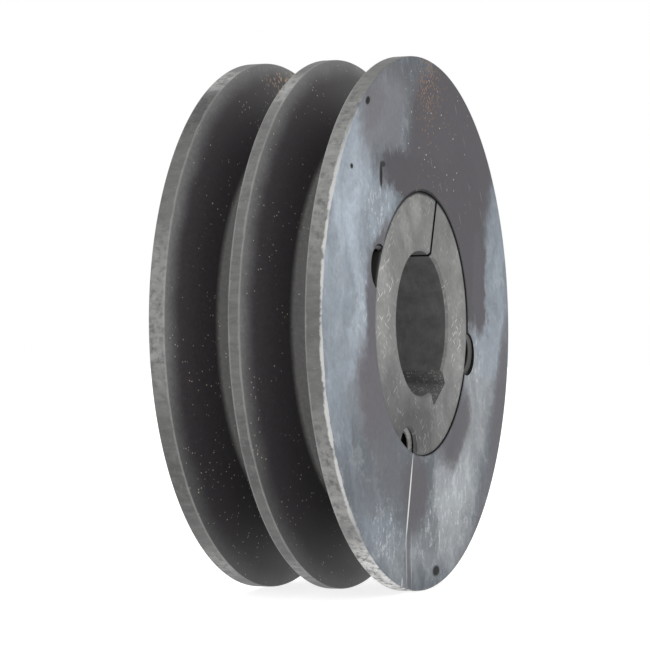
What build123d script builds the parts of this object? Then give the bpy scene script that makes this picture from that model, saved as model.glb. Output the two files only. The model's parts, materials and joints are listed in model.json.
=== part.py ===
from build123d import *
from math import cos, floor, radians, sin, tan
import os

# V belt pulley with two narrow-section grooves, held on its shaft by a split taper bush.
# Frame: the shaft axis is Y, +Z is up, and the origin is on the axis at mid-width.
# The front is the -Y side, where the small end of the bush shows. The rear, at +Y, is the
# recessed side, where the large end of the bush and its grub screws are reached.
# Directions round the axis are degrees from +X towards +Z. All sizes are in millimetres.

# Rim and grooves
outside_diameter = 132.0
groove_count = 2
groove_pitch = 19.0
groove_top_width = 16.1
groove_angle = 34.0
groove_depth = 18.0
groove_root_fillet = 0.8
end_margin = 12.2  # from an end face to the middle of the nearest groove
land_edge = 0.3  # chamfer where a flank meets the rim
rim_edge = 0.5  # chamfer where an end face meets the rim

# Hub and rear recess
hub_length = 32.0
rim_wall = 6.0  # between the bottom of a groove and the floor edge of the recess
recess_draft = 4.0
recess_fillet = 2.5
recess_edge = 0.8
seat_edge = 0.3  # chamfer at both ends of the tapered seat

# Taper bush
bush_large_diameter = 69.85
bush_length = 31.75
taper_angle = 8.0  # between opposite sides of the cone
bush_setback = 0.35  # how far the small end lies below the front face
bush_edge = 0.3
bore_diameter = 36.0
bore_edge = 0.6
split_width = 1.2
split_direction = 71.0
keyway_width = 10.0
keyway_depth = 3.3  # from the bore's wall at the keyway's middle
keyway_direction = 303.0

# Half holes between bush and hub, centred on the edge of the bush's small end: two locking
# holes and one for the jacking screw
lock_hole_spread = 95.0  # from the jacking hole to each locking hole
pocket_depth = 23.4  # plain halves, from the large end of the bush
jack_hole_countersink = 0.4  # at both mouths, past the thread's outside radius

# Grub screws and their thread
screw_diameter = 25.4 * 7 / 16
thread_pitch = 25.4 / 14
thread_angle = 55.0
screw_length = 22.2
screw_edge = 0.5  # chamfer at both ends
socket_across_flats = 6.0
socket_depth = 7.0

# Clearances
seat_clearance = 0.03  # radial, between bush and hub
screw_clearance = 0.06  # radial, round a screw
tip_clearance = 0.02  # between a screw's tip and the end of its pocket

# Worked out from the sizes above
outer_radius = outside_diameter / 2
root_radius = outer_radius - groove_depth
width = 2 * end_margin + (groove_count - 1) * groove_pitch
front_y = -width / 2
rear_y = width / 2
hub_rear_y = front_y + hub_length
bush_front_y = front_y + bush_setback
bush_rear_y = bush_front_y + bush_length
taper_slope = tan(radians(taper_angle / 2))
bore_radius = bore_diameter / 2
jack_hole_direction = split_direction + 180
lock_hole_directions = {
    "left": jack_hole_direction - lock_hole_spread,
    "right": jack_hole_direction + lock_hole_spread,
}
pocket_end_y = bush_rear_y - pocket_depth
screw_radius = screw_diameter / 2
crest_width = thread_pitch / 6
thread_depth = (thread_pitch / 2 - crest_width) / tan(radians(thread_angle / 2))
thread_minor_radius = screw_radius - thread_depth
running_radius = screw_radius + screw_clearance
beyond = 1.0  # how far a cutting tool runs past the face that it leaves


def bush_radius(y):
    """Outside radius of the bush's cone at a place along the axis."""
    return bush_large_diameter / 2 - (bush_rear_y - y) * taper_slope


def seat_radius(y):
    """Radius of the tapered seat in the hub."""
    return bush_radius(y) + seat_clearance


hole_circle_radius = bush_radius(bush_front_y)


def turned(points):
    """A solid of revolution about the Y axis, from points given as (radius, y)."""
    return revolve(make_face(Polyline(*points, close=True)), Axis.Y)


def around(direction, radius, shape):
    """Move a shape that lies on the Y axis out to a place on a circle round it."""
    angle = radians(direction)
    return Pos(radius * cos(angle), 0, radius * sin(angle)) * shape


def thread_points(start_y, end_y, inner, outer):
    """Zigzag outline of whole thread turns, as rings, from one place to another."""
    turns = floor((end_y - start_y) / thread_pitch)
    points = []
    for turn in range(turns):
        y = start_y + turn * thread_pitch
        middle = y + thread_pitch / 2
        points += [
            (inner, y + crest_width / 2),
            (outer, middle - crest_width / 2),
            (outer, middle + crest_width / 2),
            (inner, y + thread_pitch - crest_width / 2),
        ]
    return points


def threaded_hole(start_y, end_y):
    """Tool that leaves a threaded hole along the Y axis."""
    ends = [(0, start_y), (thread_minor_radius, start_y)]
    rings = thread_points(start_y, end_y, thread_minor_radius, screw_radius)
    return turned(ends + rings + [(thread_minor_radius, end_y), (0, end_y)])


def thread_core(start_y, end_y):
    """Tool of the thread's inside radius, which clears the ends of a threaded hole."""
    radius = thread_minor_radius
    return turned([(0, start_y), (radius, start_y), (radius, end_y), (0, end_y)])


def plain_hole(start_y, end_y):
    """Tool that leaves a hole in which a screw turns freely."""
    return turned([(0, start_y), (running_radius, start_y), (running_radius, end_y), (0, end_y)])


def groove_points(middle):
    """Outline of one V groove, from its front edge to its rear edge."""
    flank_slope = tan(radians(groove_angle / 2))
    half_top = groove_top_width / 2
    half_root = half_top - groove_depth * flank_slope
    front_half = [
        (outer_radius, -half_top - land_edge),
        (outer_radius - land_edge, -half_top + land_edge * flank_slope),
        (root_radius, -half_root),
    ]
    rear_half = [(radius, -y) for radius, y in reversed(front_half)]
    return [(radius, middle + y) for radius, y in front_half + rear_half]


def pulley_profile():
    """Section of the pulley body on one side of the axis."""
    floor_radius = root_radius - rim_wall
    mouth_radius = floor_radius + (rear_y - hub_rear_y) * tan(radians(recess_draft))
    points = [
        (seat_radius(front_y) + seat_edge, front_y),
        (outer_radius - rim_edge, front_y),
        (outer_radius, front_y + rim_edge),
    ]
    for groove in range(groove_count):
        points += groove_points(front_y + end_margin + groove * groove_pitch)
    points += [
        (outer_radius, rear_y - rim_edge),
        (outer_radius - rim_edge, rear_y),
        (mouth_radius + recess_edge, rear_y),
        (mouth_radius, rear_y - recess_edge),
        (floor_radius, hub_rear_y),
        (seat_radius(hub_rear_y) + seat_edge, hub_rear_y),
        (seat_radius(hub_rear_y - seat_edge), hub_rear_y - seat_edge),
        (seat_radius(front_y + seat_edge), front_y + seat_edge),
    ]
    section = make_face(Polyline(*points, close=True))
    corners = section.vertices()
    root_corners = corners.filter_by(lambda corner: abs(corner.X - root_radius) < 0.001)
    section = fillet(root_corners, groove_root_fillet)
    floor_corner = section.vertices().sort_by_distance((floor_radius, hub_rear_y, 0))[0]
    return fillet(floor_corner, recess_fillet)


def pulley_body():
    """Rim, web and hub in one casting, with its share of the three half holes."""
    body = revolve(pulley_profile(), Axis.Y)
    lock_hole = threaded_hole(front_y - beyond, pocket_end_y)
    lock_hole += plain_hole(pocket_end_y, hub_rear_y + beyond)
    for direction in lock_hole_directions.values():
        body -= around(direction, hole_circle_radius, lock_hole)
    jack_pocket = plain_hole(pocket_end_y, hub_rear_y + beyond)
    body -= around(jack_hole_direction, hole_circle_radius, jack_pocket)
    return body


def slot(direction, inner, outer, across):
    """Tool for a straight slot along the whole bush, between two distances from the axis."""
    length = bush_length + 2 * beyond
    block = Pos((inner + outer) / 2, bush_front_y + bush_length / 2, 0)
    block *= Box(outer - inner, length, across)
    return Rot(0, -direction, 0) * block


def taper_bush():
    """Split cone with the shaft bore, its keyway and its share of the three half holes."""
    bush = turned(
        [
            (bore_radius + bore_edge, bush_front_y),
            (bush_radius(bush_front_y) - bush_edge, bush_front_y),
            (bush_radius(bush_front_y + bush_edge), bush_front_y + bush_edge),
            (bush_radius(bush_rear_y - bush_edge), bush_rear_y - bush_edge),
            (bush_radius(bush_rear_y) - bush_edge, bush_rear_y),
            (bore_radius + bore_edge, bush_rear_y),
            (bore_radius, bush_rear_y - bore_edge),
            (bore_radius, bush_front_y + bore_edge),
        ]
    )
    bush -= slot(split_direction, 0, bush_large_diameter, split_width)
    bush -= slot(keyway_direction, 0, bore_radius + keyway_depth, keyway_width)
    pocket = plain_hole(pocket_end_y, bush_rear_y + beyond)
    for direction in lock_hole_directions.values():
        bush -= around(direction, hole_circle_radius, pocket)
    mouth_radius = screw_radius + jack_hole_countersink
    mouth_depth = mouth_radius - thread_minor_radius
    mouth = turned([(0, -beyond), (mouth_radius, -beyond), (mouth_radius, 0), (0, mouth_radius)])
    jack_hole = threaded_hole(bush_front_y + mouth_depth, bush_rear_y - mouth_depth)
    jack_hole += thread_core(bush_front_y - beyond, bush_rear_y + beyond)
    jack_hole += Pos(0, bush_front_y, 0) * mouth
    jack_hole += Pos(0, bush_rear_y, 0) * (Rot(180, 0, 0) * mouth)
    bush -= around(jack_hole_direction, hole_circle_radius, jack_hole)
    return bush


def grub_screw():
    """Socket set screw along the Y axis, with its tip at the end of a pocket."""
    tip_y = pocket_end_y + tip_clearance
    head_y = tip_y + screw_length
    end_radius = thread_minor_radius - screw_edge
    tip = [(0, tip_y), (end_radius, tip_y), (thread_minor_radius, tip_y + screw_edge)]
    head = [(thread_minor_radius, head_y - screw_edge), (end_radius, head_y), (0, head_y)]
    rings = thread_points(tip_y + screw_edge, head_y - screw_edge, thread_minor_radius, screw_radius)
    screw = turned(tip + rings + head)
    hexagon = Plane.XZ * RegularPolygon(socket_across_flats / 2, 6, major_radius=False)
    socket = extrude(hexagon, amount=-socket_depth - beyond)
    screw -= Pos(0, head_y - socket_depth, 0) * socket
    return screw


os.makedirs("parts", exist_ok=True)
nodes = {"pulley_body": pulley_body(), "taper_bush": taper_bush()}
for side, direction in lock_hole_directions.items():
    nodes["grub_screw_" + side] = around(direction, hole_circle_radius, grub_screw())
for name, shape in nodes.items():
    export_step(shape, "parts/" + name + ".step")
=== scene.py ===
import json
from math import ceil, cos, pi, radians, sin, tan

import bpy
from mathutils import Matrix, Vector


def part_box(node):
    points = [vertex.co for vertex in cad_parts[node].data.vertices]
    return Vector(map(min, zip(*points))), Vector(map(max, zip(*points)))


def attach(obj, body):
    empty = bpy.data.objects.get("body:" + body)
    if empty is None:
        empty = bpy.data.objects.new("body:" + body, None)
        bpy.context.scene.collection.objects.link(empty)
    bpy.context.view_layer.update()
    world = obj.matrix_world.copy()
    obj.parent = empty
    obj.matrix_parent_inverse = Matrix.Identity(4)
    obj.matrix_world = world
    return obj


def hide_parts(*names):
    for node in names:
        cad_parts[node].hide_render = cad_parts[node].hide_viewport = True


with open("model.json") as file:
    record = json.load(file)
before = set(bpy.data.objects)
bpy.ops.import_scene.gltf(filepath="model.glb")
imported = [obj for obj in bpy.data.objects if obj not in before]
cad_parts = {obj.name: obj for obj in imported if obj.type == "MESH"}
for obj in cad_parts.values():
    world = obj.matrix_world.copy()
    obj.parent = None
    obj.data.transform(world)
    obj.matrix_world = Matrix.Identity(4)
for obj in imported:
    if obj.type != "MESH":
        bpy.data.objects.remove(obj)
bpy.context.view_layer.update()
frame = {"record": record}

# Sizes are in millimetres in this script, and the model is in metres. The shaft axis is Y, and
# the front, with the small end of the bush, is at -Y. Directions round the axis are degrees from
# +X towards +Z.
MM = 0.001

# Sizes read from the frame
pulley_low, pulley_high = (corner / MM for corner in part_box("pulley_body"))
bush_low, bush_high = (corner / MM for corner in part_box("taper_bush"))
screw_low, screw_high = (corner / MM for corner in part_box("grub_screw_left"))
shaft_bore = next(m for m in frame["record"]["mounts"] if m["name"] == "shaft_bore")
outer_radius = pulley_high.z
front_y, rear_y = pulley_low.y, pulley_high.y
bush_front_y, bush_rear_y = bush_low.y, bush_high.y
bore_radius = shaft_bore["dims"]["r_mm"]
screw_tip_y, screw_head_y = screw_low.y, screw_high.y

# Rim and grooves
groove_pitch = 19
groove_places = (-groove_pitch / 2, groove_pitch / 2)
groove_top = 16.1
groove_angle = 34
groove_slope = tan(radians(groove_angle / 2))
groove_depth = 18.0
root_radius = outer_radius - groove_depth
root_fillet = 0.8
land_edge = 0.35  # rounding where a flank meets the rim
rim_edge = 0.55  # rounding where an end face meets the rim

# Hub, recess and bush
hub_length = 32
hub_rear_y = front_y + hub_length
rim_wall = 6  # between the bottom of a groove and the floor edge of the recess
recess_draft = 4
recess_radius = root_radius - rim_wall
recess_mouth = recess_radius + (rear_y - hub_rear_y) * tan(radians(recess_draft))
recess_lip = 0.9
recess_fillet = 2.5
taper_angle = 8
taper_slope = tan(radians(taper_angle / 2))
bush_large_radius = 69.85 / 2
bush_edge = 0.45
bore_edge = 0.6
seat_gap = 0.03
seat_edge = 0.3
split_width = 1.2
split_direction = 71
keyway_direction = 303
keyway_width = 10
keyway_depth = 3.3
keyway_floor = bore_radius + keyway_depth

# Screws and half holes
thread_pitch = 25.4 / 14
thread_radius = 25.4 * 7 / 32
thread_depth = 1.16
thread_gap = 0.06
crest_gap = 0.02  # how far a screw's crests stand back from the thread's full size
tip_gap = 0.02
socket_across_flats = 6
socket_depth = 7
pocket_end_y = screw_tip_y - tip_gap
thread_phase = pocket_end_y
lock_mouth_depth = 0.5  # plain stretch at the front, before the locking holes' thread
lock_spread = 95  # from the jacking hole to each locking hole
jack_direction = split_direction + 180
lock_directions = {"left": jack_direction - lock_spread, "right": jack_direction + lock_spread}
jack_mouth_radius = thread_radius + 0.4
hole_circle = bush_large_radius - (bush_rear_y - bush_front_y) * taper_slope
beyond = 1.0  # how far a cutting tool runs past a face
past_bush = 40  # how far a slot tool reaches out from the axis
thread_steps = 48  # flats round a thread
tool_steps = 47  # flats round a tool that cuts one, so that their edges don't coincide


def bush_radius(y):
    """Outside radius of the bush's cone at a place along the axis."""
    return bush_large_radius - (bush_rear_y - y) * taper_slope


# Building with the modelling tools


def deselect_all():
    bpy.ops.object.select_all(action="DESELECT")


def edit(piece):
    """Open a piece in edit mode, with all of it selected."""
    deselect_all()
    bpy.context.view_layer.objects.active = piece
    piece.select_set(True)
    bpy.ops.object.mode_set(mode="EDIT")
    bpy.ops.mesh.select_all(action="SELECT")


def leave_edit():
    bpy.ops.object.mode_set(mode="OBJECT")


def apply_modifier(piece, kind, **settings):
    """Add a modifier with its settings and apply it."""
    deselect_all()
    bpy.context.view_layer.objects.active = piece
    piece.select_set(True)
    modifier = piece.modifiers.new(kind.title(), kind)
    for name, value in settings.items():
        setattr(modifier, name, value)
    bpy.ops.object.modifier_apply(modifier=modifier.name)


def settle(piece):
    """Put a piece's place and turn into its mesh."""
    deselect_all()
    bpy.context.view_layer.objects.active = piece
    piece.select_set(True)
    bpy.ops.object.transform_apply(location=True, rotation=True, scale=True)


def cut(piece, *tools):
    """Take the tools away from a piece, one after another."""
    for tool in tools:
        apply_modifier(piece, "BOOLEAN", operation="DIFFERENCE", solver="EXACT", object=tool)
        bpy.data.objects.remove(tool)


def keep_common(piece, tool):
    """Keep only what a piece shares with a tool."""
    apply_modifier(piece, "BOOLEAN", operation="INTERSECT", solver="EXACT", object=tool)
    bpy.data.objects.remove(tool)


def rounded(corners, arc_steps=4, hold=0.25):
    """Points of a closed outline from corners given as (radius, y, rounding).

    A rounded corner becomes an arc with a holding point before and after it, which keeps the
    shading of the flat beside it even.
    """
    points = []
    for index, (radius, y, rounding) in enumerate(corners):
        here = Vector((radius, y))
        if rounding == 0:
            points.append(here)
            continue
        before = (Vector(corners[index - 1][:2]) - here).normalized()
        after = (Vector(corners[(index + 1) % len(corners)][:2]) - here).normalized()
        half_angle = before.angle(after) / 2
        reach = rounding / tan(half_angle)
        centre = here + (before + after).normalized() * rounding / sin(half_angle)
        first = (here + before * reach - centre).normalized()
        last = (here + after * reach - centre).normalized()
        points.append(here + before * (reach + hold))
        for step in range(arc_steps + 1):
            turn = first.lerp(last, step / arc_steps).normalized()
            points.append(centre + turn * rounding)
        points.append(here + after * (reach + hold))
    return points


def outline(name, points):
    """A chain of edges through points given as (radius, y), left open in edit mode."""
    deselect_all()
    bpy.ops.mesh.primitive_plane_add(size=MM, location=(0, 0, 0))
    piece = bpy.context.active_object
    piece.name = name
    bpy.ops.object.mode_set(mode="EDIT")
    bpy.ops.mesh.select_all(action="SELECT")
    bpy.ops.mesh.merge(type="CENTER")
    places = [Vector((radius, y, 0)) * MM for radius, y in points]
    bpy.ops.transform.translate(value=places[0])
    for here, there in zip(places, places[1:]):
        bpy.ops.mesh.extrude_vertices_move(TRANSFORM_OT_translate={"value": there - here})
    bpy.ops.mesh.select_all(action="SELECT")
    return piece


def turned(name, points, steps=64):
    """A closed solid turned about the Y axis from a closed outline."""
    starts_on_axis = points[0][0] == 0
    piece = outline(name, points if starts_on_axis else [*points, points[0]])
    bpy.ops.mesh.remove_doubles(threshold=0.001 * MM)
    bpy.ops.mesh.spin(steps=steps, angle=2 * pi, center=(0, 0, 0), axis=(0, 1, 0))
    bpy.ops.mesh.select_all(action="SELECT")
    bpy.ops.mesh.remove_doubles(threshold=0.001 * MM)
    bpy.ops.mesh.normals_make_consistent(inside=False)
    leave_edit()
    return piece


def threaded_rod(name, start_y, end_y, radius, phase_y):
    """A rod along the Y axis with a right-hand thread; phase_y is where a groove passes +X.

    The thread is made a few turns too long and then cut square at both ends.
    """
    first = ceil((start_y - phase_y) / thread_pitch) - 3
    last = ceil((end_y - phase_y) / thread_pitch) + 3
    inner = radius - thread_depth
    flat = thread_pitch / 12
    points = []
    for turn in range(first, last):
        y = phase_y + turn * thread_pitch
        points += [(inner, y - flat), (inner, y + flat)]
        points += [(radius, y + thread_pitch / 2 - flat), (radius, y + thread_pitch / 2 + flat)]
    thread = outline(name, points)
    leave_edit()
    apply_modifier(
        thread,
        "SCREW",
        axis="Y",
        angle=2 * pi,
        screw_offset=thread_pitch * MM,
        steps=thread_steps,
        render_steps=thread_steps,
        use_smooth_shade=False,
    )
    edit(thread)
    bpy.ops.mesh.remove_doubles(threshold=0.002 * MM)
    for end, side in ((start_y, -1), (end_y, 1)):
        bpy.ops.mesh.select_all(action="SELECT")
        bpy.ops.mesh.bisect(
            plane_co=(0, end * MM, 0), plane_no=(0, side, 0), use_fill=True, clear_outer=True
        )
    bpy.ops.mesh.select_all(action="SELECT")
    bpy.ops.mesh.normals_make_consistent(inside=False)
    leave_edit()
    return thread


def rod(name, radius, start_y, end_y, steps=thread_steps):
    """A plain round tool along the Y axis."""
    return turned(name, [(0, start_y), (radius, start_y), (radius, end_y), (0, end_y)], steps)


def off_grid(tool):
    """Turn a tool a little, so that its edges don't fall on those of a thread."""
    tool.rotation_euler.y = radians(1.7)
    settle(tool)
    return tool


def countersink(name, radius, face_y, inwards):
    """A conical tool that opens the mouth of a hole at a face; inwards is 1 or -1 along Y."""
    points = [(0, face_y - beyond * inwards), (radius, face_y - beyond * inwards)]
    points += [(radius, face_y), (0, face_y + radius * inwards)]
    return off_grid(turned(name, points, tool_steps))


def bar(name, direction, reach, width, start_y, end_y):
    """A square-edged tool that reaches out from the axis in one direction."""
    deselect_all()
    bpy.ops.mesh.primitive_cube_add(size=1)
    piece = bpy.context.active_object
    piece.name = name
    piece.scale = Vector((reach, end_y - start_y, width)) * MM
    settle(piece)
    piece.location = Vector((reach / 2, (start_y + end_y) / 2, 0)) * MM
    settle(piece)
    piece.rotation_euler.y = -radians(direction)
    settle(piece)
    return piece


def move_out(piece, direction):
    """Move a piece from the Y axis to its place on the circle of half holes."""
    angle = radians(direction)
    piece.location = Vector((cos(angle), 0, sin(angle))) * hole_circle * MM
    settle(piece)
    return piece


def smooth(piece, angle=30):
    deselect_all()
    bpy.context.view_layer.objects.active = piece
    piece.select_set(True)
    bpy.ops.object.shade_smooth_by_angle(angle=radians(angle))


# The pieces


def pulley_corners():
    """Corners of the pulley's section, as (radius, y, rounding)."""
    half_top = groove_top / 2
    half_root = half_top - groove_depth * groove_slope
    corners = [
        (bush_radius(front_y) + seat_gap, front_y, seat_edge),
        (outer_radius, front_y, rim_edge),
    ]
    for middle in groove_places:
        corners += [
            (outer_radius, middle - half_top, land_edge),
            (root_radius, middle - half_root, root_fillet),
            (root_radius, middle + half_root, root_fillet),
            (outer_radius, middle + half_top, land_edge),
        ]
    corners += [
        (outer_radius, rear_y, rim_edge),
        (recess_mouth, rear_y, recess_lip),
        (recess_radius, hub_rear_y, recess_fillet),
        (bush_radius(hub_rear_y) + seat_gap, hub_rear_y, seat_edge),
    ]
    return corners


def make_pulley():
    """The rim, web and hub in one piece, with its share of the three half holes."""
    pulley = turned("pulley_casting", rounded(pulley_corners()), steps=288)
    for direction in lock_directions.values():
        threads = threaded_rod(
            "tap", front_y - beyond, hub_rear_y + beyond, thread_radius + thread_gap, thread_phase
        )
        mouth = rod("mouth", thread_radius, front_y - beyond, front_y + lock_mouth_depth, tool_steps)
        cut(pulley, move_out(threads, direction), move_out(off_grid(mouth), direction))
    pocket = rod("pocket", thread_radius + thread_gap, pocket_end_y, hub_rear_y + beyond)
    cut(pulley, move_out(pocket, jack_direction))
    return pulley


def bush_corners():
    """Corners of the bush's section, as (radius, y, rounding)."""
    return [
        (bore_radius, bush_front_y + bore_edge, 0),
        (bore_radius + bore_edge, bush_front_y, 0.15),
        (bush_radius(bush_front_y), bush_front_y, bush_edge),
        (bush_radius(bush_rear_y), bush_rear_y, bush_edge),
        (bore_radius + bore_edge, bush_rear_y, 0.15),
        (bore_radius, bush_rear_y - bore_edge, 0),
    ]


def make_bush():
    """The split cone with its keyed bore and its share of the three half holes."""
    start_y, end_y = bush_front_y - beyond, bush_rear_y + beyond
    bush = turned("split_bush", rounded(bush_corners(), arc_steps=3, hold=0.15), steps=240)
    for direction in lock_directions.values():
        pocket = rod("pocket", thread_radius + thread_gap, pocket_end_y, end_y)
        cut(bush, move_out(pocket, direction))
    # The jacking hole's thread starts half a turn from those of the locking holes
    threads = threaded_rod("tap", start_y, end_y, thread_radius, thread_phase + thread_pitch / 2)
    cut(bush, move_out(threads, jack_direction))
    for face_y, inwards in ((bush_front_y, 1), (bush_rear_y, -1)):
        mouth = countersink("mouth", jack_mouth_radius, face_y, inwards)
        cut(bush, move_out(mouth, jack_direction))
    cut(bush, bar("split", split_direction, past_bush, split_width, start_y, end_y))
    cut(bush, bar("key_seat", keyway_direction, keyway_floor, keyway_width, start_y, end_y))
    return bush


def make_screw(side):
    """A socket set screw with a cup point, in place in its half holes."""
    crest = thread_radius - crest_gap
    core = crest - thread_depth
    screw = threaded_rod("locking_screw_" + side, screw_tip_y, screw_head_y, crest, thread_phase)
    cup_radius, cup_depth = 1.8, 0.8
    tip_radius, tip_taper = core - 0.3, 1.4
    head_radius, head_taper = crest - 0.9, 1.0
    blank = [(0, screw_tip_y + cup_depth), (cup_radius, screw_tip_y), (tip_radius, screw_tip_y)]
    blank += [(crest, screw_tip_y + tip_taper), (crest, screw_head_y - head_taper)]
    blank += [(head_radius, screw_head_y), (0, screw_head_y)]
    keep_common(screw, off_grid(turned("blank", blank, tool_steps)))
    deselect_all()
    corner_radius = socket_across_flats / 2 / cos(pi / 6)
    depth = socket_depth + beyond
    bpy.ops.mesh.primitive_cylinder_add(vertices=6, radius=corner_radius * MM, depth=depth * MM)
    socket = bpy.context.active_object
    socket.rotation_euler.x = radians(90)
    socket.location.y = (screw_head_y + beyond - depth / 2) * MM
    settle(socket)
    drill_radius, drill_point, drill_side, drill_top = 2.9, 8.2, 6.9, 6
    drill = [(0, screw_head_y - drill_point), (drill_radius, screw_head_y - drill_side)]
    drill += [(drill_radius, screw_head_y - drill_top), (0, screw_head_y - drill_top)]
    lead_in_radius = 3.5
    lead_in = countersink("lead_in", lead_in_radius, screw_head_y, -1)
    cut(screw, socket, turned("drill", drill, steps=24), lead_in)
    return move_out(screw, lock_directions[side])


# Shader building


def place(tree, kind, *values, **settings):
    """Add a node, set its properties, and join or set its first inputs in order."""
    node = tree.nodes.new("ShaderNode" + kind)
    for name, value in settings.items():
        setattr(node, name, value)
    for socket, value in zip(node.inputs, values):
        if isinstance(value, bpy.types.NodeSocket):
            tree.links.new(value, socket)
        elif value is not None:
            socket.default_value = value
    return node


def maths(tree, operation, *values):
    return place(tree, "Math", *values, operation=operation).outputs[0]


def vector_maths(tree, operation, *values):
    node = place(tree, "VectorMath", *values, operation=operation)
    return node.outputs["Value" if operation in ("LENGTH", "DOT_PRODUCT") else "Vector"]


def radius_and_place(tree, position):
    """Distance from the shaft axis, and place along it."""
    parts = place(tree, "SeparateXYZ", position).outputs
    flat = place(tree, "CombineXYZ", parts["X"], parts["Z"], 0.0).outputs[0]
    return vector_maths(tree, "LENGTH", flat), parts["Y"]


def mix(tree, factor, first, second):
    """Blend two colours."""
    node = tree.nodes.new("ShaderNodeMix")
    node.data_type = "RGBA"
    for socket, value in zip((node.inputs[0], node.inputs[6], node.inputs[7]), (factor, first, second)):
        if isinstance(value, bpy.types.NodeSocket):
            tree.links.new(value, socket)
        else:
            socket.default_value = value
    return node.outputs[2]


def noise(tree, vector, scale, detail=4.0, roughness=0.55):
    node = place(tree, "TexNoise", vector)
    node.inputs["Scale"].default_value = scale
    node.inputs["Detail"].default_value = detail
    node.inputs["Roughness"].default_value = roughness
    return node.outputs


def span(tree, value, low, high, smooth_step=True):
    """A value's rise from 0 at low to 1 at high."""
    node = place(tree, "MapRange", value, low, high)
    node.interpolation_type = "SMOOTHSTEP" if smooth_step else "LINEAR"
    return node.outputs[0]


def new_group(name, inputs, outputs):
    """An empty node group with its sockets, as (tree, input sockets, output node)."""
    tree = bpy.data.node_groups.new(name, "ShaderNodeTree")
    for label, kind, value in inputs:
        socket = tree.interface.new_socket(label, in_out="INPUT", socket_type="NodeSocket" + kind)
        if value is not None:
            socket.default_value = value
    for label, kind in outputs:
        tree.interface.new_socket(label, in_out="OUTPUT", socket_type="NodeSocket" + kind)
    enter = tree.nodes.new("NodeGroupInput")
    leave = tree.nodes.new("NodeGroupOutput")
    return tree, enter.outputs, leave


def use(tree, group, position, *values):
    """Place a group with the position as its first input, and return its outputs."""
    node = tree.nodes.new("ShaderNodeGroup")
    node.node_tree = group
    for socket, value in zip(node.inputs, (position, *values)):
        if isinstance(value, bpy.types.NodeSocket):
            tree.links.new(value, socket)
        else:
            socket.default_value = value
    return node.outputs


def patch_group():
    """A soft-edged oval blob round a point of the piece."""
    tree, enter, leave = new_group(
        "soft patch",
        [
            ("Position", "Vector", None),
            ("Centre", "Vector", None),
            ("Half size", "Vector", (1, 1, 1)),
            ("Turn", "Float", 0),
            ("Softness", "Float", 0.3),
        ],
        [("Mask", "Float")],
    )
    offset = vector_maths(tree, "SUBTRACT", enter["Position"], enter["Centre"])
    turn = place(tree, "VectorRotate", offset, rotation_type="Y_AXIS")
    tree.links.new(enter["Turn"], turn.inputs["Angle"])
    share = vector_maths(tree, "DIVIDE", turn.outputs[0], enter["Half size"])
    distance = vector_maths(tree, "LENGTH", share)
    low = maths(tree, "SUBTRACT", 1, enter["Softness"])
    high = maths(tree, "ADD", 1, enter["Softness"])
    rise = place(tree, "MapRange", distance, low, high, 1.0, 0.0, interpolation_type="SMOOTHSTEP")
    tree.links.new(rise.outputs[0], leave.inputs["Mask"])
    return tree


def edge_group():
    """A band along a turned edge, given its radius and its place along the axis; used for wear, a
    painted highlight and painted shade.
    """
    tree, enter, leave = new_group(
        "edge band",
        [
            ("Position", "Vector", None),
            ("Radius", "Float", 66),
            ("Place", "Float", 0),
            ("Width", "Float", 1),
            ("Break-up", "Float", 0.6),
        ],
        [("Mask", "Float")],
    )
    radius, along = radius_and_place(tree, enter["Position"])
    off_radius = maths(tree, "SUBTRACT", radius, enter["Radius"])
    off_place = maths(tree, "SUBTRACT", along, enter["Place"])
    both = place(tree, "CombineXYZ", off_radius, off_place, 0.0).outputs[0]
    distance = maths(tree, "DIVIDE", vector_maths(tree, "LENGTH", both), enter["Width"])
    rough = noise(tree, enter["Position"], 0.22, 6, 0.7)["Fac"]
    ragged = maths(tree, "MULTIPLY", maths(tree, "SUBTRACT", rough, 0.5), 3.0)
    worn = maths(tree, "ADD", distance, maths(tree, "MULTIPLY", ragged, enter["Break-up"]))
    rise = place(tree, "MapRange", worn, 0.35, 1.0, 1.0, 0.0, interpolation_type="SMOOTHSTEP")
    tree.links.new(rise.outputs[0], leave.inputs["Mask"])
    return tree


def speck_group():
    """Small scattered grains of dust or rust."""
    tree, enter, leave = new_group(
        "specks",
        [
            ("Position", "Vector", None),
            ("Scale", "Float", 1.0),
            ("Share", "Float", 0.1),
            ("Size", "Float", 0.2),
        ],
        [("Mask", "Float")],
    )
    cells = place(tree, "TexVoronoi", enter["Position"])
    tree.links.new(enter["Scale"], cells.inputs["Scale"])
    near = maths(tree, "LESS_THAN", cells.outputs["Distance"], enter["Size"])
    pick = place(tree, "SeparateColor", cells.outputs["Color"]).outputs[0]
    chosen = maths(tree, "LESS_THAN", pick, enter["Share"])
    tree.links.new(maths(tree, "MULTIPLY", near, chosen), leave.inputs["Mask"])
    return tree


def scratch_group():
    """Short straight scratches that lie mostly one way."""
    tree, enter, leave = new_group(
        "scratches",
        [
            ("Position", "Vector", None),
            ("Turn", "Float", 0.0),
            ("Scale", "Float", 0.5),
            ("Share", "Float", 0.2),
        ],
        [("Mask", "Float")],
    )
    turn = place(tree, "VectorRotate", enter["Position"], rotation_type="Y_AXIS")
    tree.links.new(enter["Turn"], turn.inputs["Angle"])
    thin = vector_maths(tree, "MULTIPLY", turn.outputs[0], (5.0, 0.3, 0.45))
    cells = place(tree, "TexVoronoi", thin)
    tree.links.new(enter["Scale"], cells.inputs["Scale"])
    near = span(tree, cells.outputs["Distance"], 0.26, 0.1)
    pick = place(tree, "SeparateColor", cells.outputs["Color"]).outputs[0]
    chosen = maths(tree, "LESS_THAN", pick, enter["Share"])
    tree.links.new(maths(tree, "MULTIPLY", near, chosen), leave.inputs["Mask"])
    return tree


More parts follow.
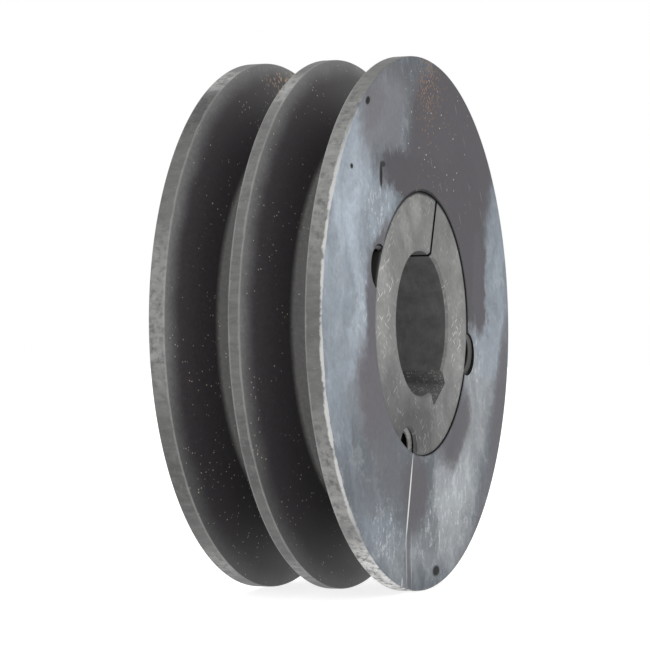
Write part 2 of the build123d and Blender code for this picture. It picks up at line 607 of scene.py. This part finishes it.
def turning_group():
    """Fine rings left by the lathe tool, as a height."""
    tree, enter, leave = new_group(
        "turning marks",
        [("Position", "Vector", None), ("Rings", "Float", 3.0)],
        [("Height", "Float")],
    )
    radius, along = radius_and_place(tree, enter["Position"])
    rings_passed = maths(tree, "MULTIPLY", maths(tree, "ADD", radius, along), enter["Rings"])
    rings = place(tree, "TexNoise", noise_dimensions="1D")
    tree.links.new(rings_passed, rings.inputs["W"])
    rings.inputs["Scale"].default_value = 1.0
    rings.inputs["Detail"].default_value = 3.0
    tree.links.new(rings.outputs["Fac"], leave.inputs["Height"])
    return tree


groups = {
    "patch": patch_group(),
    "edge": edge_group(),
    "specks": speck_group(),
    "scratches": scratch_group(),
    "turning": turning_group(),
}


def new_material(name, specular=0.2):
    """A material with its shader, and the place on the piece in millimetres."""
    material = bpy.data.materials.new(name)
    material.use_nodes = True
    tree = material.node_tree
    tree.nodes.clear()
    shader = tree.nodes.new("ShaderNodeBsdfPrincipled")
    output = tree.nodes.new("ShaderNodeOutputMaterial")
    tree.links.new(shader.outputs[0], output.inputs["Surface"])
    coordinates = tree.nodes.new("ShaderNodeTexCoord").outputs["Object"]
    position = vector_maths(tree, "MULTIPLY", coordinates, (1 / MM,) * 3)
    shader.inputs["Specular IOR Level"].default_value = specular
    return material, tree, shader, position


WARM = (1.05, 0.99, 1.1)
COOL = (0.88, 1.0, 1.14)
PALE = (0.94, 1.0, 1.05)
PLAIN = (1.0, 1.0, 0.98)
SMOKE = (1.0, 1.0, 1.02)
HAZE = (0.97, 0.99, 1.1)


def tone(level, tint=PLAIN):
    """A surface colour that looks as light as level, from 0 to 255, in the studio light."""
    share = max((level / 255) ** 2.2 - 0.02, 0.006) / 1.3
    return (share * tint[0], share * tint[1], share * tint[2], 1)


def add_bump(tree, shader, *heights):
    """Chain bumps, each given as (height, strength, depth in millimetres)."""
    normal = None
    for height, strength, depth in heights:
        bump = place(tree, "Bump")
        bump.inputs["Strength"].default_value = strength
        bump.inputs["Distance"].default_value = depth * MM
        tree.links.new(height, bump.inputs["Height"])
        if normal is not None:
            tree.links.new(normal, bump.inputs["Normal"])
        normal = bump.outputs["Normal"]
    tree.links.new(normal, shader.inputs["Normal"])


def wandering(tree, position, reach, ragged):
    """The position pushed about by broad and fine noise, so that patch edges wander."""
    broad = noise(tree, position, 0.06, 3, 0.5)["Color"]
    fine = noise(tree, position, 0.45, 4, 0.6)["Color"]
    for drift, distance in ((broad, reach), (fine, ragged)):
        shift = vector_maths(tree, "SUBTRACT", drift, (0.5, 0.5, 0.5))
        shift = vector_maths(tree, "MULTIPLY", shift, (distance, 0, distance))
        position = vector_maths(tree, "ADD", position, shift)
    return position


def patch(tree, position, row):
    """Mask of one patch, given as (x, y, z, half x, half y, half z, turn, softness)."""
    centre, half_size, turn, softness = row[:3], row[3:6], radians(row[6]), row[7]
    return use(tree, groups["patch"], position, centre, half_size, turn, softness)[0]


def lay(tree, position, colour, rows, y=0, half_y=1000):
    """Lay stains over a colour; each row is (x, z, half x, half z, turn, softness, strength,
    level, tint)."""
    for x, z, half_x, half_z, turn, softness, strength, level, tint in rows:
        mask = patch(tree, position, (x, y, z, half_x, half_y, half_z, turn, softness))
        mask = maths(tree, "MULTIPLY", mask, strength)
        colour = mix(tree, mask, colour, tone(level, tint))
    return colour


def scale_colour(tree, colour, factor, low, high):
    """Lighten and darken a colour between two shares of itself."""
    share = place(tree, "MapRange", factor, 0.3, 0.7, low, high).outputs[0]
    shares = place(tree, "CombineXYZ", share, share, share).outputs[0]
    return vector_maths(tree, "MULTIPLY", colour, shares)


def rub_edge_with_highlight(tree, position, colour, place_y, width):
    """Rub the outer edge of an end face bright, on the -X side: edge wear with a painted highlight."""
    edge = use(tree, groups["edge"], position, outer_radius, place_y, width, 0.9)[0]
    # Limited to the -X side, where the lights stand, as a painted highlight
    rubbed = patch(tree, position, (-66, 0, -8, 26, 1000, 62, 0, 0.4))
    edge = maths(tree, "MULTIPLY", edge, maths(tree, "MULTIPLY", rubbed, 0.9))
    return mix(tree, edge, colour, tone(205))


def paint_joint_shade(tree, position, colour, ring, thickest, least, level):
    """Paint shade along a turned edge, as the dark line of painted shade in the joint between bush and
    hub.

    ring is the edge's (radius, y, width, break-up), and thickest is the patch where most of the shade
    lies.
    """
    joint_shade = use(tree, groups["edge"], position, *ring)[0]
    share = maths(tree, "MULTIPLY", patch(tree, position, thickest), 0.75)
    joint_shade = maths(tree, "MULTIPLY", joint_shade, maths(tree, "ADD", least, share))
    return mix(tree, joint_shade, colour, tone(level, WARM))


# Stains on the front face: first the lighter film, then the bare dark iron, then pits and marks.
# Each row is (x, z, half x, half z, turn, softness, strength, level, tint).
front_film = [
    (-52, 14, 16, 34, 0, 0.5, 1, 156, COOL),
    (-47, 32, 9, 16, -30, 0.6, 1, 178, COOL),
    (-43, 10, 4, 24, 0, 0.7, 0.8, 168, COOL),
    (-30, 27, 10, 8, 30, 0.4, 0.9, 156, COOL),
    (-57, -8, 7, 20, 8, 0.6, 0.8, 148, COOL),
    (-50, -30, 9, 12, 35, 0.6, 0.4, 130, COOL),
    (-28, -51, 14, 7, -25, 0.6, 0.7, 144, COOL),
    (2, -57, 30, 7, 0, 0.6, 0.6, 146, PALE),
    (-40, -44, 8, 5, 45, 0.6, 0.5, 138, COOL),
    (19, -47, 15, 12, 20, 0.6, 1, 152, PALE),
    (26, -39, 13, 8, 20, 0.6, 0.95, 178, PALE),
    (40, -20, 11, 17, -25, 0.5, 0.9, 148, PALE),
    (9, -38, 4, 6, 0, 0.6, 0.8, 160, PALE),
    (56, 10, 11, 24, 0, 0.4, 0.95, 150, COOL),
    (46, -5, 9, 9, 0, 0.6, 0.8, 154, COOL),
    (38, 4, 6, 5, 0, 0.6, 0.6, 140, PALE),
    (-20, 58, 16, 6, -20, 0.5, 0.8, 112, PALE),
]
front_bare = [
    (-28, 51, 17, 9, 30, 0.5, 0.85, 130, HAZE),
    (-20, 44, 6, 10, 10, 0.5, 0.7, 124, HAZE),
    (-33, 52, 9, 5, 35, 0.5, 0.6, 112, WARM),
    (-14, 62, 9, 4, 0, 0.6, 0.6, 102, HAZE),
    (22, 43, 33, 25, 0, 0.13, 1, 92, WARM),
    (30, 22, 16, 23, 20, 0.15, 1, 90, WARM),
    (42, 10, 5.5, 14, 8, 0.2, 1, 95, WARM),
    (-5, 36, 23, 7, 0, 0.2, 1, 89, WARM),
    (-35.2, 2, 4.2, 15, 0, 0.4, 0.95, 102, WARM),
    (-34, -17, 9, 15, 35, 0.45, 1, 106, WARM),
    (-24, -33, 13, 9, -40, 0.6, 0.8, 108, HAZE),
    (-46, -18, 6, 5, 20, 0.6, 0.4, 118, HAZE),
    (-37, -40, 5, 9, 60, 0.6, 0.45, 112, HAZE),
    (-7, -42, 9, 10, 0, 0.4, 0.95, 98, WARM),
    (24, -28, 11, 6, 45, 0.4, 0.9, 98, WARM),
    (14, -32, 7, 3, 15, 0.4, 0.7, 98, WARM),
    (-29, 20, 7, 3, 35, 0.4, 0.9, 100, WARM),
    (58, -20, 5, 21, -18, 0.5, 0.85, 102, WARM),
    (45, -45, 15, 4, 45, 0.6, 0.6, 110, WARM),
    (30, -57, 8, 3, 25, 0.6, 0.5, 116, HAZE),
    (6, -52, 3, 5, 0, 0.6, 0.5, 112, HAZE),
    (-12, -57, 2.2, 8, 0, 0.5, 0.7, 92, WARM),
]
front_marks = [
    (-36.6, 52.4, 1.5, 0.9, 20, 0.3, 1, 10, WARM),
    (-47.1, 36.4, 0.9, 0.6, 0, 0.3, 1, 20, WARM),
    (-28.4, 35.3, 0.9, 3.0, 0, 0.3, 1, 10, WARM),
    (-27.2, 38.0, 1.7, 0.7, 0, 0.3, 0.8, 20, WARM),
    (7.0, -61.8, 2.5, 1.3, 0, 0.3, 1, 10, WARM),
    (-11.4, -42.9, 0.4, 10.8, -15, 0.4, 1, 228, PLAIN),
    (-17.0, -63.0, 0.25, 1.6, -10, 0.4, 1, 215, PLAIN),
    (-13.8, -57, 0.5, 6, 0, 0.5, 0.8, 165, PALE),
    (-10.4, -57.5, 0.5, 6, 0, 0.5, 0.8, 160, PALE),
]
# Where white dabs of lime lie over the film, as (x, y, z, half x, half y, half z, turn, softness)
dabbed = [
    (20, 0, -46, 18, 1000, 12, 20, 0.6),
    (2, 0, -51, 9, 1000, 8, 0, 0.6),
    (-30, 0, 27, 9, 1000, 9, 30, 0.6),
    (-41, 0, 0, 4, 1000, 16, 0, 0.6),
    (-28, 0, -50, 10, 1000, 8, -20, 0.6),
    (36, 0, -8, 6, 1000, 10, 0, 0.6),
]
rear_film = [
    (-50, 20, 16, 36, 0, 0.5, 0.9, 150, COOL),
    (30, -48, 30, 16, 30, 0.5, 0.9, 150, PLAIN),
    (40, 38, 20, 16, 30, 0.5, 0.8, 142, COOL),
]
rear_bare = [
    (0, 55, 26, 9, 10, 0.3, 0.9, 104, WARM),
    (54, -12, 9, 18, 0, 0.4, 0.9, 108, WARM),
    (-34, -46, 16, 10, -40, 0.4, 0.9, 106, WARM),
]


def end_face(name, film, bare, marks, face_y):
    """Machined iron under a cloudy blue-grey film, bare and darker in places."""
    material, tree, shader, position = new_material(name, 0.07)
    colour = lay(tree, wandering(tree, position, 18, 4), tone(112, COOL), film)
    smear = vector_maths(tree, "MULTIPLY", wandering(tree, position, 30, 6), (0.16, 1, 0.05))
    streaks = noise(tree, smear, 1.0, 7, 0.65)["Fac"]
    colour = scale_colour(tree, colour, streaks, 0.74, 1.26)
    bloom = noise(tree, wandering(tree, position, 10, 8), 0.16, 8, 0.7)["Fac"]
    bloom = maths(tree, "MULTIPLY", span(tree, bloom, 0.5, 0.66), 0.4)
    colour = mix(tree, bloom, colour, tone(178, PALE))
    tall = vector_maths(tree, "MULTIPLY", position, (1, 1, 0.55))
    dabs = span(tree, noise(tree, tall, 0.9, 7, 0.7)["Fac"], 0.53, 0.64)
    for zone in dabbed:
        there = maths(tree, "MULTIPLY", dabs, patch(tree, position, zone))
        colour = mix(tree, maths(tree, "MULTIPLY", there, 0.8), colour, tone(200, PALE))
    colour = lay(tree, wandering(tree, position, 11, 6), colour, bare)
    mottle = noise(tree, position, 0.7, 6, 0.65)["Fac"]
    colour = scale_colour(tree, colour, mottle, 0.88, 1.12)
    colour = lay(tree, position, colour, marks)
    pale_zone = patch(tree, position, (8, 0, 45, 24, 1000, 24, 0, 0.5))
    pale = maths(tree, "MULTIPLY", use(tree, groups["specks"], position, 0.8, 0.1, 0.16)[0], pale_zone)
    colour = mix(tree, pale, colour, tone(215))
    for zone, scale, share, size in (
        ((4, 0, 60, 8, 1000, 8, 0, 0.6), 1.3, 0.5, 0.42),
        ((7, 0, 48, 12, 1000, 18, 0, 0.7), 1.0, 0.2, 0.3),
    ):
        rust = use(tree, groups["specks"], position, scale, share, size)[0]
        rust = maths(tree, "MULTIPLY", rust, patch(tree, position, zone))
        colour = mix(tree, rust, colour, (0.19, 0.12, 0.08, 1))
    # Worn outer edge with a painted highlight on the -X side
    colour = rub_edge_with_highlight(tree, position, colour, face_y, 0.75)
    # Painted shade in the joint round the bush, thickest towards the top
    ring = (bush_radius(front_y), front_y, 0.8, 0.3)
    colour = paint_joint_shade(tree, position, colour, ring, (-10, 0, 26, 24, 1000, 22, 0, 0.4), 0.15, 40)
    scratch = use(tree, groups["scratches"], position, 0.5, 0.25, 0.1)[0]
    colour = mix(tree, maths(tree, "MULTIPLY", scratch, 0.3), colour, tone(185))
    tree.links.new(colour, shader.inputs["Base Color"])
    rough = maths(tree, "ADD", 0.42, maths(tree, "MULTIPLY", mottle, 0.2))
    tree.links.new(rough, shader.inputs["Roughness"])
    rings = use(tree, groups["turning"], position, 3.0)[0]
    add_bump(tree, shader, (rings, 0.2, 0.02), (mottle, 0.3, 0.05))
    return material


# Dull and rubbed patches on the rim of each disc, as the patch (x, y, z, half x, half y, half z,
# turn, softness), its strength and its level
rim_wear = [
    ((-36, 20, 52, 14, 5, 14, 0, 0.6), 0.8, 82),
    ((-54, 20, -38, 10, 5, 14, 0, 0.6), 0.8, 94),
    ((-58, 0, -32, 8, 5, 12, 0, 0.6), 0.8, 94),
    ((-58, -20, 32, 10, 5, 22, 0, 0.6), 0.7, 150),
    ((-46, -20, 46, 20, 5, 18, 0, 0.6), 0.7, 144),
    ((-54, -20, -38, 12, 5, 20, 0, 0.6), 0.9, 150),
    ((-25, -20, -61, 24, 5, 12, 0, 0.5), 1.0, 220),
    ((-35, 0, 56, 9, 5, 6, 0, 0.6), 0.9, 168),
    ((-50, 0, 42, 18, 5, 16, 0, 0.6), 0.5, 130),
    ((-28, 0, -60, 9, 5, 5, 0, 0.6), 0.9, 150),
    ((-29, 20, 60, 8, 5, 4.5, 0, 0.6), 0.9, 172),
    ((-66, 20, 4, 8, 5, 19, 0, 0.6), 0.9, 146),
    ((-31, 20, -58, 9, 5, 6, 0, 0.6), 0.9, 150),
]


def worn_rim():
    """Turned rim between the grooves, rubbed lighter in patches."""
    material, tree, shader, position = new_material("worn_rim")
    along = vector_maths(tree, "MULTIPLY", position, (1, 0.3, 1))
    streak = noise(tree, along, 0.6, 6, 0.65)["Fac"]
    blotch = noise(tree, position, 0.5, 6, 0.7)["Fac"]
    colour = tone(110)
    for row, strength, level in rim_wear:
        mask = maths(tree, "MULTIPLY", patch(tree, position, row), strength)
        ragged = maths(tree, "MULTIPLY", mask, span(tree, blotch, 0.34, 0.56))
        colour = mix(tree, ragged, colour, tone(level))
    colour = scale_colour(tree, colour, streak, 0.78, 1.18)
    fine = noise(tree, position, 1.6, 4, 0.6)["Fac"]
    colour = mix(tree, span(tree, fine, 0.6, 0.8), colour, tone(150))
    # Worn outer edge with a painted highlight on the -X side
    colour = rub_edge_with_highlight(tree, position, colour, front_y, 0.8)
    for middle in groove_places:
        for place_y in (middle - groove_top / 2, middle + groove_top / 2):
            edge = use(tree, groups["edge"], position, outer_radius, place_y, 0.5, 0.8)[0]
            colour = mix(tree, maths(tree, "MULTIPLY", edge, 0.35), colour, tone(165))
    tree.links.new(colour, shader.inputs["Base Color"])
    rough = maths(tree, "ADD", 0.45, maths(tree, "MULTIPLY", blotch, 0.15))
    tree.links.new(rough, shader.inputs["Roughness"])
    add_bump(tree, shader, (streak, 0.3, 0.05), (blotch, 0.2, 0.06))
    return material


def groove_black():
    """Satin black flanks, paler where they meet the rim, with grains of dust."""
    material, tree, shader, position = new_material("groove_black")
    radius = radius_and_place(tree, position)[0]
    soft = noise(tree, position, 0.1, 3, 0.5)["Fac"]
    reach = maths(tree, "ADD", radius, maths(tree, "MULTIPLY", soft, 3.0))
    pale = span(tree, reach, outer_radius - 4, outer_radius + 2)
    colour = mix(tree, pale, (0.05, 0.045, 0.049, 1), (0.16, 0.16, 0.16, 1))
    # Painted shade: the grooves are darker towards the bottom
    low = patch(tree, position, (0, 0, -56, 1000, 1000, 34, 0, 0.7))
    colour = mix(tree, maths(tree, "MULTIPLY", low, 0.6), colour, (0.026, 0.024, 0.026, 1))
    root = span(tree, radius, root_radius + 1.4, root_radius + 0.5)
    colour = mix(tree, root, colour, (0.125, 0.122, 0.12, 1))
    fine = noise(tree, position, 1.2, 4, 0.6)["Fac"]
    colour = scale_colour(tree, colour, fine, 0.85, 1.15)
    for scale, share, size in ((1.2, 0.22, 0.19), (0.6, 0.12, 0.12)):
        dust = use(tree, groups["specks"], position, scale, share, size)[0]
        clusters = span(tree, noise(tree, position, 0.09, 3, 0.5)["Fac"], 0.4, 0.6)
        colour = mix(tree, maths(tree, "MULTIPLY", dust, clusters), colour, (0.45, 0.4, 0.32, 1))
    rust = use(tree, groups["specks"], position, 0.9, 0.7, 0.4)[0]
    rust = maths(tree, "MULTIPLY", rust, patch(tree, position, (5, 17, 61, 12, 6, 4, 0, 0.6)))
    colour = mix(tree, rust, colour, (0.35, 0.24, 0.15, 1))
    tree.links.new(colour, shader.inputs["Base Color"])
    rough = maths(tree, "ADD", 0.42, maths(tree, "MULTIPLY", fine, 0.16))
    tree.links.new(rough, shader.inputs["Roughness"])
    rings = use(tree, groups["turning"], position, 4.0)[0]
    add_bump(tree, shader, (rings, 0.15, 0.02), (fine, 0.2, 0.03))
    return material


def cast_recess():
    """As-cast iron of the rear recess and hub face, under a dark coat."""
    material, tree, shader, position = new_material("cast_recess")
    lumps = noise(tree, position, 0.7, 6, 0.7)["Fac"]
    broad = noise(tree, position, 0.06, 3, 0.5)["Fac"]
    colour = mix(tree, span(tree, broad, 0.35, 0.65), tone(80, WARM), tone(104, COOL))
    colour = mix(tree, span(tree, lumps, 0.6, 0.8), colour, tone(124))
    tree.links.new(colour, shader.inputs["Base Color"])
    rough = maths(tree, "ADD", 0.55, maths(tree, "MULTIPLY", lumps, 0.2))
    tree.links.new(rough, shader.inputs["Roughness"])
    add_bump(tree, shader, (lumps, 0.6, 0.25))
    return material


def painted_hole_shade():
    """Near-black iron of the seat, the half holes and the split: painted shade for the dark inside
    them.
    """
    material, tree, shader, position = new_material("painted_hole_shade", 0.1)
    grain = noise(tree, position, 1.5, 4, 0.6)["Fac"]
    colour = mix(tree, span(tree, grain, 0.35, 0.7), (0.005, 0.005, 0.005, 1), (0.02, 0.02, 0.02, 1))
    tree.links.new(colour, shader.inputs["Base Color"])
    shader.inputs["Roughness"].default_value = 0.45
    add_bump(tree, shader, (grain, 0.2, 0.03))
    return material


def lit_crest():
    """Thread crests and first flanks, painted lighter than the rest of the hole as painted light, less
    so in the locking holes.
    """
    material, tree, shader, position = new_material("lit_crest")
    grain = noise(tree, position, 1.5, 4, 0.6)["Fac"]
    left = patch(tree, position, (-30, 0, 13, 14, 1000, 16, 0, 0.2))
    colour = mix(tree, span(tree, grain, 0.35, 0.7), tone(130), tone(165))
    colour = mix(tree, left, colour, tone(66))
    right = patch(tree, position, (36, 0, -8, 10, 1000, 10, 0, 0.2))
    colour = mix(tree, right, colour, tone(98))
    tree.links.new(colour, shader.inputs["Base Color"])
    shader.inputs["Roughness"].default_value = 0.45
    return material


bush_stains = [
    (-27, 6, 5, 20, 0, 0.6, 0.9, 148, PLAIN),
    (0, 27, 16, 6, 0, 0.5, 0.7, 126, PLAIN),
    (28, 6, 6, 20, 0, 0.6, 0.9, 137, PLAIN),
    (24, -12, 7, 10, 30, 0.6, 0.8, 142, PLAIN),
    (-6, -26, 18, 8, 0, 0.6, 1, 94, SMOKE),
    (-24, -18, 8, 8, 45, 0.6, 0.8, 104, SMOKE),
    (14, -25, 9, 6, 30, 0.5, 0.6, 124, PLAIN),
    (20, -18, 6, 5, 30, 0.5, 0.5, 112, SMOKE),
    (-4, 28, 4, 4, 0, 0.6, 0.5, 156, PLAIN),
    (-12, 23, 3, 6, 30, 0.6, 0.4, 156, PLAIN),
]


def bush_iron():
    """Ground grey iron of the bush, scuffed, with short bright scratches."""
    material, tree, shader, position = new_material("bush_iron", 0.07)
    colour = lay(tree, wandering(tree, position, 8, 2), tone(126), bush_stains)
    broad = noise(tree, position, 0.14, 7, 0.7)["Fac"]
    colour = scale_colour(tree, colour, broad, 0.76, 1.22)
    mottle = noise(tree, position, 0.8, 6, 0.7)["Fac"]
    colour = scale_colour(tree, colour, mottle, 0.84, 1.18)
    scratches = None
    for turn, scale, share in ((0.9, 0.5, 0.5), (2.2, 0.42, 0.4), (0.2, 0.6, 0.3)):
        scratch = use(tree, groups["scratches"], position, turn, scale, share)[0]
        scratches = scratch if scratches is None else maths(tree, "MAXIMUM", scratches, scratch)
    scuffed = span(tree, noise(tree, position, 0.13, 3, 0.5)["Fac"], 0.42, 0.56)
    left = patch(tree, position, (-27, 0, 8, 7, 1000, 16, 0, 0.5))
    right = patch(tree, position, (25, 0, -4, 5, 1000, 8, 0, 0.5))
    scuffed = maths(tree, "MULTIPLY", scuffed, 0.4)
    scuffed = maths(tree, "MAXIMUM", scuffed, maths(tree, "MAXIMUM", left, right))
    scratches = maths(tree, "MULTIPLY", scratches, scuffed)
    colour = mix(tree, scratches, colour, tone(235))
    # Painted shade in the joint round the bush, thickest towards the top
    ring = (bush_radius(bush_front_y), bush_front_y, 1.0, 0.3)
    colour = paint_joint_shade(tree, position, colour, ring, (-10, 0, 30, 24, 1000, 18, 0, 0.4), 0.2, 30)
    tree.links.new(colour, shader.inputs["Base Color"])
    rough = maths(tree, "ADD", 0.4, maths(tree, "MULTIPLY", mottle, 0.2))
    tree.links.new(rough, shader.inputs["Roughness"])
    add_bump(tree, shader, (mottle, 0.3, 0.05), (scratches, 0.3, -0.04))
    return material


def bore_iron():
    """Bored inside of the bush, darker and rougher than its faces."""
    material, tree, shader, position = new_material("bore_iron")
    along = vector_maths(tree, "MULTIPLY", position, (0.3, 2.5, 0.3))
    rings = noise(tree, along, 0.8, 5, 0.6)["Fac"]
    grain = noise(tree, position, 0.25, 5, 0.7)["Fac"]
    colour = scale_colour(tree, (0.085, 0.084, 0.085), grain, 0.75, 1.25)
    colour = scale_colour(tree, colour, rings, 0.93, 1.07)
    tree.links.new(colour, shader.inputs["Base Color"])
    rough = maths(tree, "ADD", 0.45, maths(tree, "MULTIPLY", grain, 0.2))
    tree.links.new(rough, shader.inputs["Roughness"])
    add_bump(tree, shader, (rings, 0.15, 0.02))
    return material


def keyway_iron():
    """Broached walls of the keyway, rough and speckled with pale grains."""
    material, tree, shader, position = new_material("keyway_iron")
    grain = noise(tree, position, 1.3, 5, 0.75)["Fac"]
    colour = scale_colour(tree, (0.115, 0.115, 0.113), grain, 0.6, 1.5)
    grit = use(tree, groups["specks"], position, 2.0, 0.35, 0.3)[0]
    colour = mix(tree, grit, colour, (0.4, 0.4, 0.38, 1))
    tree.links.new(colour, shader.inputs["Base Color"])
    shader.inputs["Roughness"].default_value = 0.55
    add_bump(tree, shader, (grain, 0.5, 0.1))
    return material


def black_screw_steel():
    """Black oxide steel, with the oxide rubbed thin in places."""
    material, tree, shader, position = new_material("black_screw_steel")
    fine = noise(tree, position, 1.8, 5, 0.65)["Fac"]
    colour = mix(tree, span(tree, fine, 0.5, 0.8), tone(62, COOL), tone(104))
    tree.links.new(colour, shader.inputs["Base Color"])
    shader.inputs["Metallic"].default_value = 0.6
    rough = maths(tree, "ADD", 0.32, maths(tree, "MULTIPLY", fine, 0.2))
    tree.links.new(rough, shader.inputs["Roughness"])
    add_bump(tree, shader, (fine, 0.2, 0.03))
    return material


def paint_by_face(piece, materials, choose):
    """Give each face the material whose index choose(centre in mm, normal) returns."""
    piece.data.materials.clear()
    for material in materials:
        piece.data.materials.append(material)
    for face in piece.data.polygons:
        face.material_index = choose(face.center / MM, face.normal)


def radius_of(centre):
    """Distance from the shaft axis."""
    return (centre.x**2 + centre.z**2) ** 0.5


def from_slot(centre, direction):
    """Distance from the middle plane of a slot in a direction."""
    angle = radians(direction)
    return abs(centre.x * sin(angle) - centre.z * cos(angle))


def from_hole(centre, direction):
    """Distance from the axis of the half hole in a direction."""
    angle = radians(direction)
    across = Vector((cos(angle), sin(angle))) * hole_circle
    return (Vector((centre.x, centre.z)) - across).length


hole_directions = [jack_direction, *lock_directions.values()]


def in_hole(centre, normal):
    """0 away from the half holes, 1 in one of them, 2 on the thread's crest or first flank."""
    nearest = min(from_hole(centre, direction) for direction in hole_directions)
    first_flank = 0.8 < abs(normal.y) < 0.95 and normal.y < 0 and centre.y < front_y + 2
    if nearest < thread_radius - thread_depth + 0.2 or (first_flank and nearest < thread_radius):
        return 2
    return 1 if nearest < thread_radius + thread_gap + 0.05 else 0


def pulley_zone(centre, normal):
    """0 front face, 1 rim, 2 groove, 3 recess, 4 rear face, 5 seat and holes, 6 thread crests."""
    radius = radius_of(centre)
    if radius > outer_radius - 0.5 and abs(normal.y) < 0.75:
        return 1
    for middle in groove_places:
        if abs(centre.y - middle) < groove_top / 2 and radius > root_radius - 0.5:
            return 2
    if centre.y < front_y + 0.3 and normal.y < -0.5:
        return 0
    if centre.y > rear_y - 0.3:
        return 4
    if normal.y > 0.98 and abs(centre.y - hub_rear_y) < 0.01:
        return 3
    if radius < bush_large_radius + 4 and in_hole(centre, normal):
        return 4 + in_hole(centre, normal)
    return 5 if normal.y < 0.5 and radius < bush_large_radius + 0.2 else 3


def bush_zone(centre, normal):
    """0 outside and end faces, 1 bore, 2 keyway, 3 split and holes, 4 thread crests."""
    radius = radius_of(centre)
    from_face = min(centre.y - bush_front_y, bush_rear_y - centre.y)
    off_countersink = abs(from_hole(centre, jack_direction) + from_face - jack_mouth_radius)
    if abs(normal.y) > 0.98 or (off_countersink < 0.12 and abs(normal.y) < 0.8):
        if radius > bore_radius + 5 and from_face < 1.5:
            return 0
    if from_slot(centre, split_direction) < split_width / 2 + 0.05 and centre.z > 0:
        return 3
    if radius > bush_radius(bush_front_y) - thread_radius - 1 and in_hole(centre, normal):
        return 2 + in_hole(centre, normal)
    if abs(normal.y) > 0.98:
        return 0
    if radius < bore_radius + 0.05:
        return 1
    from_keyway = from_slot(centre, keyway_direction)
    return 2 if radius < keyway_floor + 1 and from_keyway < keyway_width / 2 + 0.1 else 0


def finish_piece(piece, body, node):
    """Smooth a piece, tie it to its body and put it in place of its CAD node."""
    smooth(piece)
    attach(piece, body)
    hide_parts(node)


# Painted shade inside the holes, seat and split, and painted light on the thread crests and first
# flanks
hole_shade, crest_light = painted_hole_shade(), lit_crest()
pulley_materials = [
    end_face("front_face_iron", front_film, front_bare, front_marks, front_y),
    worn_rim(),
    groove_black(),
    cast_recess(),
    end_face("rear_face_iron", rear_film, rear_bare, [], rear_y),
    hole_shade,
    crest_light,
]
pulley = make_pulley()
paint_by_face(pulley, pulley_materials, pulley_zone)
finish_piece(pulley, "pulley", "pulley_body")

bush = make_bush()
bush_materials = [bush_iron(), bore_iron(), keyway_iron(), hole_shade, crest_light]
paint_by_face(bush, bush_materials, bush_zone)
finish_piece(bush, "bush", "taper_bush")

screw_steel = black_screw_steel()
for side in lock_directions:
    screw = make_screw(side)
    screw.data.materials.append(screw_steel)
    finish_piece(screw, "screw_" + side, "grub_screw_" + side)


# Floor, light and camera


def make_floor():
    """A plain pale floor just under the pulley, with only a faint shadow on it."""
    deselect_all()
    gap = 0.2
    bpy.ops.mesh.primitive_plane_add(size=8, location=(0, 0, (pulley_low.z - gap) * MM))
    floor = bpy.context.active_object
    floor.name = "floor"
    material = bpy.data.materials.new("floor_white")
    material.use_nodes = True
    shader = material.node_tree.nodes["Principled BSDF"]
    shader.inputs["Base Color"].default_value = (0.5, 0.5, 0.5, 1)
    shader.inputs["Roughness"].default_value = 0.9
    shader.inputs["Emission Color"].default_value = (1, 1, 1, 1)
    shader.inputs["Emission Strength"].default_value = 0.8
    floor.data.materials.append(material)


def make_world():
    """Even white light from all round."""
    world = bpy.data.worlds.new("studio")
    bpy.context.scene.world = world
    world.use_nodes = True
    background = world.node_tree.nodes["Background"]
    background.inputs["Color"].default_value = (1, 1, 1, 1)
    background.inputs["Strength"].default_value = 1.0


def make_light(name, azimuth, elevation, distance, size, power):
    """A square soft light aimed at the middle of the pulley."""
    turn, lift = radians(azimuth), radians(elevation)
    back = Vector((sin(turn) * cos(lift), -cos(turn) * cos(lift), sin(lift)))
    light = bpy.data.lights.new(name, "AREA")
    light.energy = power
    light.size = size
    lamp = bpy.data.objects.new(name, light)
    lamp.location = back * distance
    lamp.rotation_euler = back.to_track_quat("Z", "Y").to_euler()
    bpy.context.scene.collection.objects.link(lamp)


def make_camera():
    """A long lens that looks at the front face from far to the -X side, level with the axis."""
    azimuth, elevation, roll = radians(-67.48), radians(-0.21), radians(-0.51)
    distance = 646.6 * MM
    aim = Vector((-9.3, 1.0, -0.15)) * MM
    turn = Matrix.Rotation(azimuth, 4, "Z") @ Matrix.Rotation(pi / 2 - elevation, 4, "X")
    turn = turn @ Matrix.Rotation(roll, 4, "Z")
    back = turn.to_3x3() @ Vector((0, 0, 1))
    lens = bpy.data.cameras.new("camera")
    lens.sensor_width = 36
    lens.lens = 144.6
    lens.clip_start = 0.01
    camera = bpy.data.objects.new("camera", lens)
    camera.matrix_world = Matrix.Translation(aim + back * distance) @ turn
    bpy.context.scene.collection.objects.link(camera)
    bpy.context.scene.camera = camera


make_floor()
make_world()
make_light("left_softbox", -110, 40, 1.2, 0.8, 3)
make_light("front_softbox", -20, 35, 1.4, 1.0, 3)
make_camera()
bpy.context.scene.view_settings.view_transform = "Standard"
